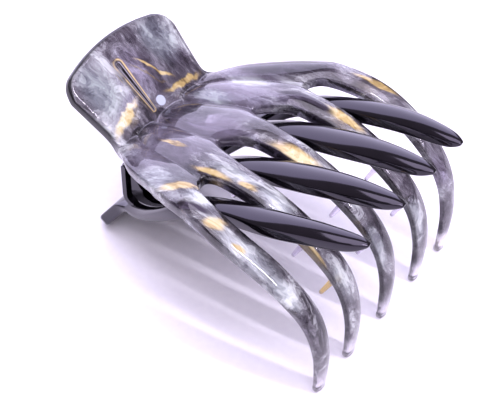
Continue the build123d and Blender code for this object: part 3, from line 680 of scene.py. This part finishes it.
handle = {
    "length": 23.6 * mm, "halfWidth": 20.1 * mm, "waist": 18.1 * mm, "thickness": 3.0 * mm,
    "bow": 4.0 * mm, "corner": 4.2 * mm, "waistShare": 0.2,
    "rimDrop": 0.9 * mm, "rimRun": 1.8 * mm,  # the upper edge rolls down over this run
    "rimColumns": [0, 0.9 * mm, 2.0 * mm],  # columns beside each long edge
    # The crease points this way, and is this deep in thicknesses of the plate
    "creaseWay": (-0.146, 0, -0.989), "creaseDepth": 1.18, "creaseDip": 0.3 * mm,
    "stations": [1.0, .964, .927, .85, .73, .59, .45, .31, .17, .06],  # shares of the length, from the end
}
pegs = {
    "radius": 0.95 * mm, "tipRadius": 0.55 * mm, "lean": math.radians(27), "sink": 0.4, "segments": 20,
    "roundFrom": 0.9, "roundShare": 0.7, "roundSegments": 4, "middle": 0.65,
    "reach": [.515, .685, .820, .936], "length": [4.0 * mm, 6.9 * mm, 8.1 * mm, 8.8 * mm],
}


# Grip pegs under the three middle tines, all leaning the way that the mould opens
def addPegs(bm, x, z, depths):
    down = Vector((-math.sin(pegs["lean"]), 0, -math.cos(pegs["lean"])))
    turn = down.to_track_quat("Z", "Y").to_matrix().to_4x4()
    middles = []
    for share, length in zip(pegs["reach"], pegs["length"]):
        outerX = share * upper["tineReach"]
        slope = math.atan2(levelAt(x, z, outerX) - levelAt(x, z, outerX + pegs["radius"]), pegs["radius"])
        depth = levelAt(x, depths, outerX)
        seat = Vector((outerX - depth * math.sin(slope), 0, levelAt(x, z, outerX) - depth * math.cos(slope)))
        for place in (-upper["innerSpread"], 0, upper["innerSpread"]):
            root = neckPlace + seat + Vector((0, place, 0)) - down * (pegs["sink"] * depth)
            full = length + pegs["sink"] * depth
            matrix = Matrix.Translation(root + down * (full / 2)) @ turn
            made = bmesh.ops.create_cone(
                bm, cap_ends=True, segments=pegs["segments"], radius1=pegs["radius"],
                radius2=pegs["tipRadius"], depth=full, matrix=matrix)["verts"]
            edges = dict.fromkeys(e for v in made for e in v.link_edges)  # each edge once, in order
            tip = [e for e in edges
                   if all((w.co - root).dot(down) > pegs["roundFrom"] * full for w in e.verts)]
            bmesh.ops.bevel(bm, geom=tip, offset=pegs["roundShare"] * pegs["tipRadius"],
                            segments=pegs["roundSegments"], profile=0.5, affect="EDGES", material=-1)
            middles.append(root + down * (pegs["middle"] * full))
    return middles


# Rows of the handle plate, from its bowed end to the crease, with a rim that rolls down
def handleRows(columnY, along, above):
    rows = []
    sideLength = handle["length"] - handle["bow"]
    for share in handle["stations"]:
        flare = min(1.0, max(0.0, (share - handle["waistShare"]) / (1 - handle["waistShare"])))
        half = handle["waist"] + (handle["halfWidth"] - handle["waist"]) * flare
        row = []
        for index, y in enumerate(columnY):
            across = y / columnY[-1]
            fromEdge = min(index, len(columnY) - 1 - index)
            if fromEdge < len(handle["rimColumns"]):
                across = math.copysign(1 - handle["rimColumns"][fromEdge] / half, y)
            reach = sideLength + handle["bow"] * (1 - across**2)
            past = max(0.0, abs(across) * half - (half - handle["corner"]))
            reach -= handle["corner"] - math.sqrt(max(0.0, handle["corner"]**2 - past**2))
            out = reach * share
            fromRim = min(reach - out, half * (1 - abs(across)))
            drop = handle["rimDrop"] * max(0.0, 1 - fromRim / handle["rimRun"])**2
            foot = Vector((0, across * half, 0)) + along * out
            row.append([foot - above * drop, foot - above * handle["thickness"]])
        rows.append(row)
    return rows


# Row of the crease between the plate and the flutes
def creaseRow(columnY):
    way = Vector(handle["creaseWay"])
    dip = way * handle["creaseDip"]
    depth = way * handle["thickness"] * handle["creaseDepth"]
    return [[Vector((0, y, 0)) + dip, Vector((0, y, 0)) + depth] for y in columnY]


# Makes the shell, and returns it with the middles of its pegs
def makeUpperJaw():
    x = [share * upper["tineReach"] for share in upper["reach"]]
    heights = [share * upper["archHeight"] for share in upper["rise"]] + [upper["tipHeight"]]
    z = [height - heights[0] for height in heights]
    upper["depth"] = [share * upper["tineDepth"] for share in upper["depthShare"]]
    upper["tines"] = tinesOf(upper)
    marks = upper["noseRows"] + [upper["innerRoot"], upper["outerRoot"]]
    stations = stationsFor(x, z, marks, upper["spacing"])
    tineRows = [tineRow(upper, p, x, z) for p in stations]
    columnY = [pair[0].y for pair in tineRows[0]]
    along = Vector((-math.cos(handleAngle), 0, math.sin(handleAngle)))
    above = Vector((math.sin(handleAngle), 0, math.cos(handleAngle)))
    rows = handleRows(columnY, along, above) + [creaseRow(columnY)] + tineRows[1:]
    shell = jawShell("upperShell", upper, rows, stations, x, neckPlace)
    joined = bmesh.new()
    pegPlaces = addPegs(joined, x, z, upper["depth"])
    addEars(joined, ears["upperInner"], upper["earFoot"], hingeDrop - upper["earSink"] * upper["depth"][0])
    carve(shell, joined, "UNION")
    cutBoreAndGroove(shell, 2 * upper["outerSpread"], neckPlace - Vector((0, spring["legPlace"], 0)), along,
                     above, spring["handleRun"], spring["handleDepth"],
                     -handle["thickness"] - spring["handleDepth"])
    return shell, pegPlaces


upperShell, pegPlaces = makeUpperJaw()
dress(upperShell, marbledAcetate(pegPlaces), "upper", "upper_jaw")
print("upper jaw made", len(upperShell.data.vertices))

# Lower jaw, in the rows that the part has. Reach and rise place the middle line of its tines.
lower = {
    "reachLength": 73.9 * mm, "riseLength": 35.3 * mm, "depthSize": 4.5 * mm, "outerDrop": 1.6 * mm,
    "innerSpread": 8.1 * mm, "outerSpread": 24.0 * mm, "innerWidth": 7.8 * mm, "outerWidth": 7.2 * mm,
    "reach": [-.008, .080, .188, .272, .357, .470, .663, .797, .908, .976, .996],
    "rise": [.042, .144, .343, .527, .649, .759, .875, .938, .974, .994, .998],
    "depthShare": [.76, .80, .93, .98, .98, .98, 1.0, .94, .80, .55, .26],
    "drop": [0, 0, .5, 1, 1, 1, 1, 1, 1, 1, 1],
    "innerWidths": [1.26, 1.49, 1.02, .85, .82, .88, 1.0, .90, .69, .44, .19],
    "innerPlaces": [.568, .691, .988, 1.037, 1.025, .988, .938, .901, .864, .840, .834],
    "outerWidths": [1.34, 1.47, 1.0, .80, .74, .80, .94, .86, .69, .44, .20],
    "outerPlaces": [.562, .667, .850, .942, .954, .963, .975, .944, .900, .867, .856],
    "innerRoot": 8.2 * mm, "outerRoot": 8.8 * mm,
    "columns": [0, .17, .34, .5, .66, .83, 1], "crown": 0.14, "crownLimit": 0.4, "belly": 0.12,
    "valley": 0.2 * mm, "valleyDip": 0.15 * mm, "web": 3.2 * mm, "pitEnd": 0, "pitWidth": 0, "pitDepth": 0,
    "spacing": 3.2 * mm, "edge": 0.65 * mm, "earFoot": (-.2, .95), "earSink": 0.4,
}
tab = {
    "length": 15.1 * mm, "thickness": 3.3 * mm, "angle": math.radians(54), "halfWidth": 18.0 * mm,
    "inset": 0.45 * mm, "corner": 4.0 * mm, "stations": [1.0, .985, .94, .86, .7, .5, .3, .12],
    "endTaper": 0.85 * mm, "taperPower": 30,  # a high power keeps the taper to the very end
}
guard = {
    "face": 18.3 * mm, "width": 2.0 * mm, "wall": 1.3 * mm, "back": 0.2 * mm, "rise": 5.4 * mm,
    "bend": 2.0 * mm, "sink": 0.3 * mm, "steps": 8, "roundShare": 0.49, "roundSegments": 5,
}


# Side guards of the hinge: each rises from its tine in a round bend and ends in a round top
def addGuards(bm, x, z):
    bendEnd = guard["wall"] - guard["back"] + guard["bend"]
    seat = levelAt(x, z, bendEnd) - guard["sink"]
    for side in (-1, 1):
        middle = side * (guard["face"] - guard["width"] / 2)
        centre = lowerPlace + Vector((bendEnd, middle, seat + guard["bend"]))
        section = Matrix.Translation(centre - Vector((0, 0, guard["bend"] + guard["wall"] / 2)))
        section @= Matrix.Rotation(math.pi / 2, 4, "Y")
        section @= Matrix.Diagonal((guard["wall"], guard["width"], 1, 1))
        corners = bmesh.ops.create_grid(bm, x_segments=1, y_segments=1, size=0.5, matrix=section)["verts"]
        face = [corners[0].link_faces[0]]
        for step in range(guard["steps"] + 1):
            made = bmesh.ops.extrude_face_region(bm, geom=face, use_keep_orig=True)["geom"]
            if step > 0:
                bmesh.ops.delete(bm, geom=face, context="FACES_ONLY")
            corners = [g for g in made if isinstance(g, bmesh.types.BMVert)]
            face = [g for g in made if isinstance(g, bmesh.types.BMFace)]
            if step < guard["steps"]:
                turn = Matrix.Rotation(math.pi / 2 / guard["steps"], 3, "Y")
                bmesh.ops.rotate(bm, verts=corners, cent=centre, matrix=turn)
            else:
                lift = hingePlace.z + guard["rise"] - centre.z
                bmesh.ops.translate(bm, verts=corners, vec=(0, 0, lift))
        top = [e for e in face[0].edges if abs(e.verts[0].co.y - e.verts[1].co.y) > guard["width"] / 2]
        bmesh.ops.bevel(bm, geom=top, offset=guard["roundShare"] * guard["wall"],
                        segments=guard["roundSegments"], profile=0.5, affect="EDGES", material=-1)


# Rows of the thumb tab, from its round-cornered end to the root of the tines
def tabRows(columnY, start, along, above):
    rows = []
    for share in tab["stations"]:
        row = []
        for y in columnY:
            across = y / columnY[-1]
            past = max(0.0, (abs(across) - 1) * tab["halfWidth"] + tab["corner"])
            reach = tab["length"] - tab["corner"] + math.sqrt(max(0.0, tab["corner"]**2 - past**2))
            foot = start + Vector((0, across * tab["halfWidth"], 0)) + along * (reach * share)
            taper = tab["endTaper"] * share**tab["taperPower"]
            row.append([foot - above * taper, foot - above * (tab["thickness"] - taper)])
        rows.append(row)
    return rows


def makeLowerJaw():
    middleX = [share * lower["reachLength"] for share in lower["reach"]]
    middleZ = [share * lower["riseLength"] for share in lower["rise"]]
    lower["depth"] = [share * lower["depthSize"] for share in lower["depthShare"]]
    lower["tines"] = tinesOf(lower)
    x, z = [], []  # top line of the tines, half their depth from the middle line
    last = len(middleX) - 1
    for i, depth in enumerate(lower["depth"]):
        dx = middleX[min(i + 1, last)] - middleX[max(i - 1, 0)]
        dz = middleZ[min(i + 1, last)] - middleZ[max(i - 1, 0)]
        size = math.hypot(dx, dz)
        x.append(middleX[i] - dz / size * depth / 2)
        z.append(middleZ[i] + dx / size * depth / 2)
    stations = stationsFor(x, z, [lower["innerRoot"], lower["outerRoot"]], lower["spacing"])
    tineRows = [tineRow(lower, p, x, z) for p in stations]
    columnY = [pair[0].y for pair in tineRows[0]]
    along = Vector((-math.cos(tab["angle"]), 0, -math.sin(tab["angle"])))
    above = Vector((-math.sin(tab["angle"]), 0, math.cos(tab["angle"])))
    start = above * (tab["thickness"] + tab["inset"])
    rows = tabRows(columnY, start, along, above) + tineRows
    shell = jawShell("lowerShell", lower, rows, stations, x, lowerPlace)
    joined = bmesh.new()
    addEars(joined, ears["lowerInner"], lower["earFoot"], lower["earSink"] * lower["depth"][0] - hingeDrop)
    addGuards(joined, x, z)
    carve(shell, joined, "UNION")
    cutBoreAndGroove(shell, 2 * (ears["lowerInner"] + ears["thickness"]) + ears["boreOver"],
                     lowerPlace + Vector((0, spring["legPlace"], 0)) + start, along, above,
                     spring["tabRun"], spring["tabDepth"], -spring["tabDepth"])
    return shell


lowerShell = makeLowerJaw()
dress(lowerShell, black, "lower", "lower_jaw")
print("lower jaw made", len(lowerShell.data.vertices))

for node in ("hinge_pin", "spring_coil", "spring_leg"):
    for spot in frame["nodes"][node].material_slots:
        spot.material = steel

# Floor and studio
studio = {
    "floorSize": 6.0, "worldColour": "#f3e7f8", "worldStrength": 0.45,
    # Each light: where it stands, its width and height, the brightness of its face and its colour
    "lights": {
        "farSoftbox": ((-1.065, 0.862, 0.61), (2.2, 1.34), 3.5, "#e2dcff"),
        "overheadSoftbox": ((-0.02, 0.05, 0.9), (0.7, 0.7), 5.0, "#eee6fb"),
        "nearSoftbox": ((0.35, -0.45, 0.8), (0.6, 0.6), 5.0, "#eee6fb"),
        "stripLamp": ((0.42, 0.02, 0.8), (0.035, 0.6), 60.0, "#f6eeff"),
    },
}
viewpoint = {
    "place": (0.14466, -0.20599, 0.25928), "tilt": math.radians(46.0), "turn": math.radians(35.7445),
    "lens": 102.94, "sensor": 36.0,
}


def buildStudio():
    bm = bmesh.new()
    bmesh.ops.create_grid(bm, x_segments=1, y_segments=1, size=studio["floorSize"] / 2)
    floor = finishMesh("floor", bm)
    floor.data.materials.append(grainyMaterial(backdropPaper))
    world = bpy.data.worlds.new("studioWorld")
    bpy.context.scene.world = world
    world.use_nodes = True
    world.node_tree.nodes.clear()
    glow = addNode(world.node_tree, "ShaderNodeBackground", {
        "Color": linear(studio["worldColour"]), "Strength": studio["worldStrength"]}, {})
    addNode(world.node_tree, "ShaderNodeOutputWorld", {}, {"Surface": glow.outputs[0]})


# A lamp that faces the clip, with the power that gives its face that brightness
def areaLight(name, place, size, brightness, colour):
    light = bpy.data.lights.new(name, "AREA")
    light.shape = "RECTANGLE"
    light.size, light.size_y = size
    light.energy = brightness * math.pi * size[0] * size[1]
    light.color = linear(colour)[:3]
    lamp = bpy.data.objects.new(name, light)
    lamp.location = place
    lamp.rotation_euler = (-Vector(place)).to_track_quat("-Z", "Y").to_euler()
    bpy.context.scene.collection.objects.link(lamp)


buildStudio()
for name, (place, size, brightness, colour) in studio["lights"].items():
    areaLight(name, place, size, brightness, colour)

camera = bpy.data.cameras.new("camera")
camera.lens = viewpoint["lens"]
camera.sensor_width = viewpoint["sensor"]
view = bpy.data.objects.new("camera", camera)
view.location = viewpoint["place"]
view.rotation_euler = (viewpoint["tilt"], 0, viewpoint["turn"])
bpy.context.scene.collection.objects.link(view)
bpy.context.scene.camera = view
bpy.context.scene.view_settings.view_transform = "Standard"
print("studio made")
